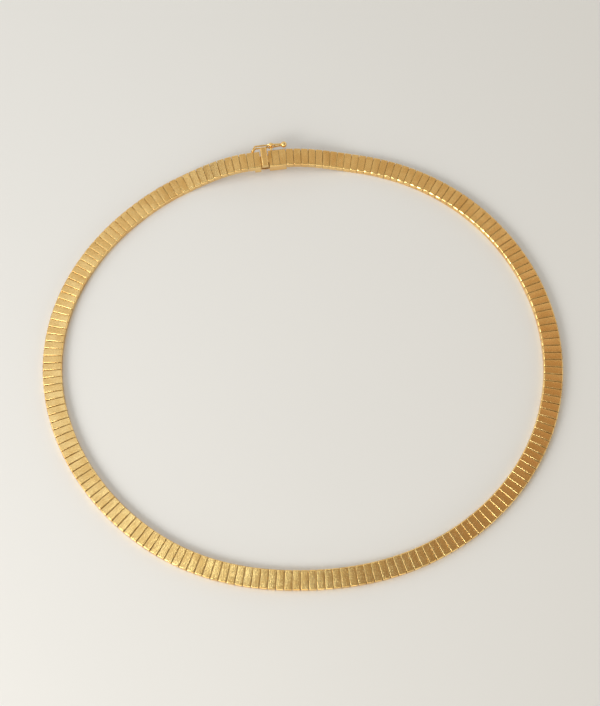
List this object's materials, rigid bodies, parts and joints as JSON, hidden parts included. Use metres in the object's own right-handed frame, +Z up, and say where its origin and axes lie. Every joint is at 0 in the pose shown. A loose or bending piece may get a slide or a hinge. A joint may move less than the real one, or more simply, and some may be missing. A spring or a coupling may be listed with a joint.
{
  "type": "omega necklace",
  "caption": "Flat, stiff necklace of folded metal segments on a woven core, with a box clasp and a figure-eight safety latch.",
  "frame": {"origin": "middle of the necklace's outline, on the surface that it rests on", "axes": "+Z up out of the satin front, +X along the loop's longer width, +Y towards the clasp"},
  "size_m": [0.1503, 0.1365, 0.0052],
  "materials": {
    "satin_gold": "satin brushed yellow gold with polished rims",
    "polished_gold": "polished yellow gold",
    "woven_gold": "woven gold wire, dull"
  },
  "bodies": {
    "necklace": {"segments": "satin_gold", "core": "woven_gold", "tongue_end": "satin_gold", "box": "satin_gold"},
    "thumb_lever": {"thumb_leaf": "polished_gold"},
    "latch": {"safety_latch": "polished_gold"}
  },
  "joints": [
    {"name": "thumb_press", "type": "hinge", "parent": "necklace", "child": "thumb_lever", "pos_m": [-0.00705, 0.0629, 0.00267], "axis": [0.1275, -0.9918, 0], "range_deg": [0, 6], "stiffness_Nm_per_rad": 0.04},
    {"name": "latch_swing", "type": "hinge", "parent": "necklace", "child": "latch", "pos_m": [-0.01525, 0.06497, 0.0038], "axis": [0, 0, 1], "range_deg": [0, 120]}
  ]
}
